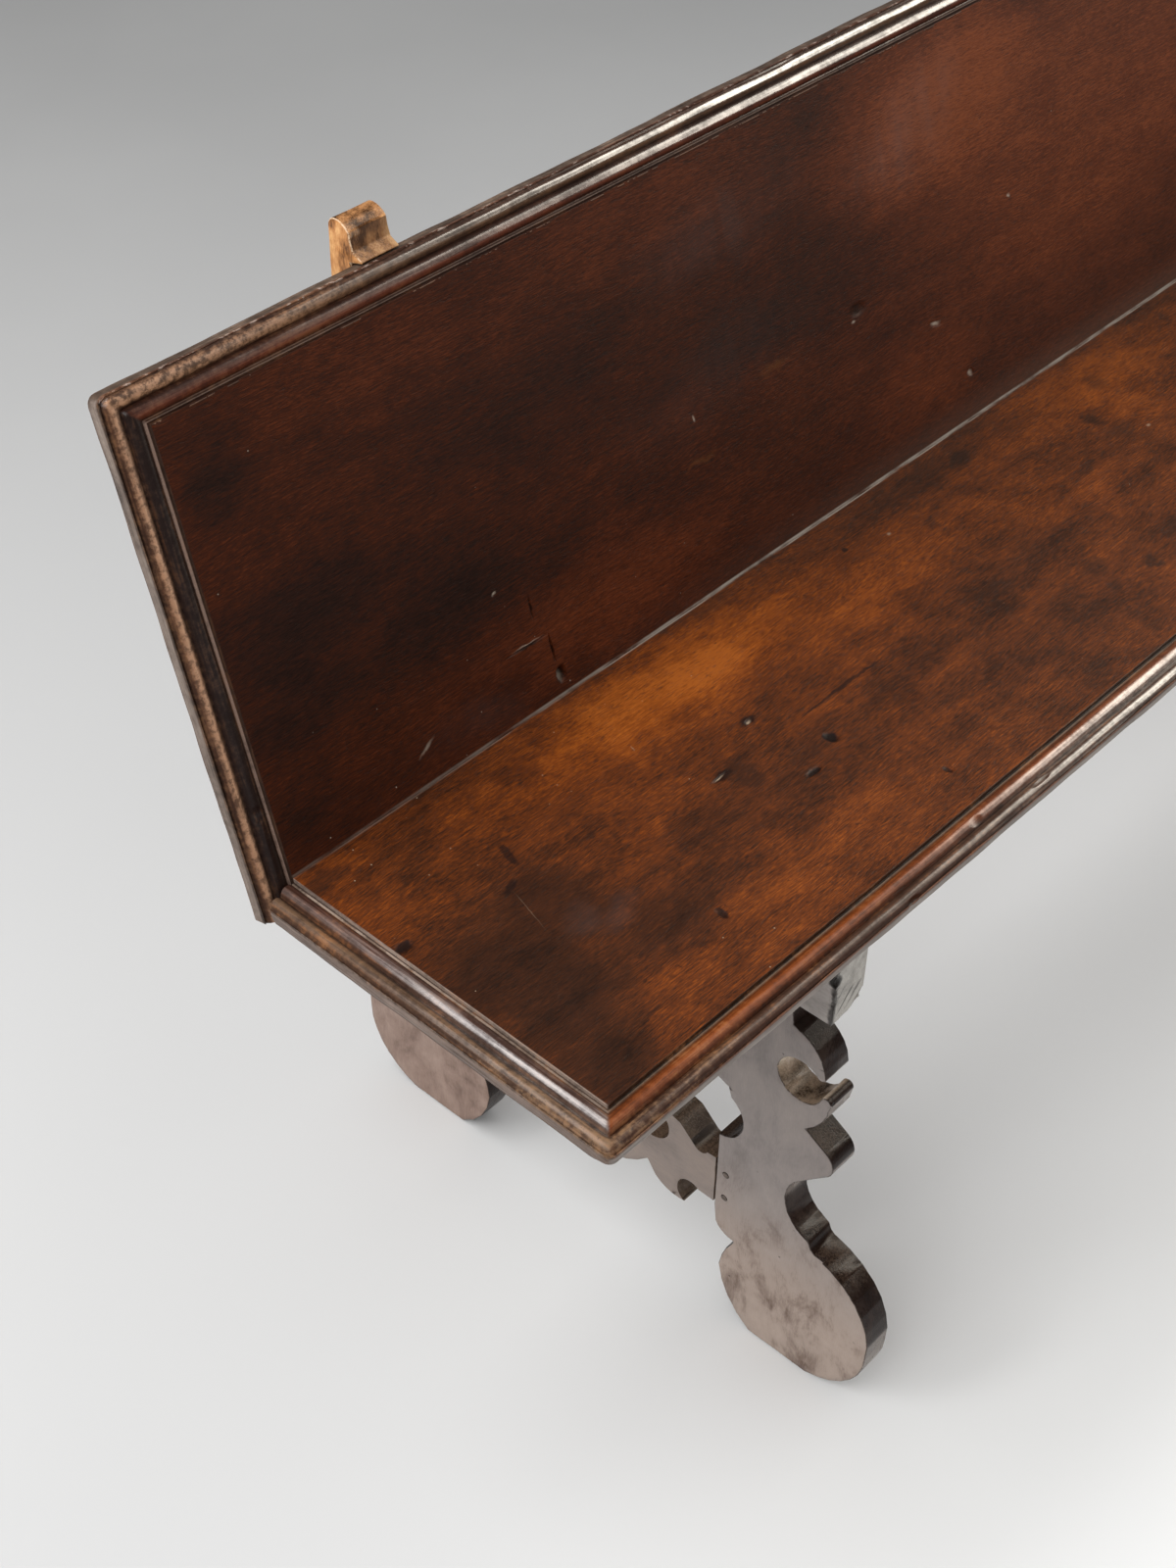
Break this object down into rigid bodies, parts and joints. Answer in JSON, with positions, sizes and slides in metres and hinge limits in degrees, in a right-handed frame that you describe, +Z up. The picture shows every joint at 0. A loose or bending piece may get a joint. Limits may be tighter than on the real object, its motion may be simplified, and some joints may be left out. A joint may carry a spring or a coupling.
{
  "type": "bench",
  "caption": "Long wooden bench with a leaning back board, moulded seat and back edges, and scroll-cut trestles with pierced stretchers.",
  "frame": {"origin": "on the floor, midway between the bench's two ends and midway between its front and rear feet", "axes": "+X along the bench to the sitter's left end, +Y to the back, +Z up"},
  "size_m": [1.7, 0.5354, 0.8404],
  "materials": {
    "seat_walnut": "waxed, warm orange-brown, worn",
    "back_walnut": "waxed, dark reddish brown",
    "leg_walnut": "dull grey-brown faces, satin",
    "stretcher_walnut": "dull grey-brown faces, satin",
    "peg_wood": "dark dry end grain, flush with the legs",
    "batten_wood": "bare, grey, dry end grain",
    "post_wood": "golden brown, worn"
  },
  "bodies": {
    "root": {"seat_board": "seat_walnut", "back_board": "back_walnut", "left_front_leg": "leg_walnut", "left_rear_leg": "leg_walnut", "left_stretcher": "stretcher_walnut", "left_front_upper_peg": "peg_wood", "left_front_lower_peg": "peg_wood", "left_rear_upper_peg": "peg_wood", "left_rear_lower_peg": "peg_wood", "left_seat_batten": "batten_wood", "left_back_post": "post_wood", "right_front_leg": "leg_walnut", "right_rear_leg": "leg_walnut", "right_stretcher": "stretcher_walnut", "right_front_upper_peg": "peg_wood", "right_front_lower_peg": "peg_wood", "right_rear_upper_peg": "peg_wood", "right_rear_lower_peg": "peg_wood", "right_seat_batten": "batten_wood", "right_back_post": "post_wood"}
  },
  "joints": []
}
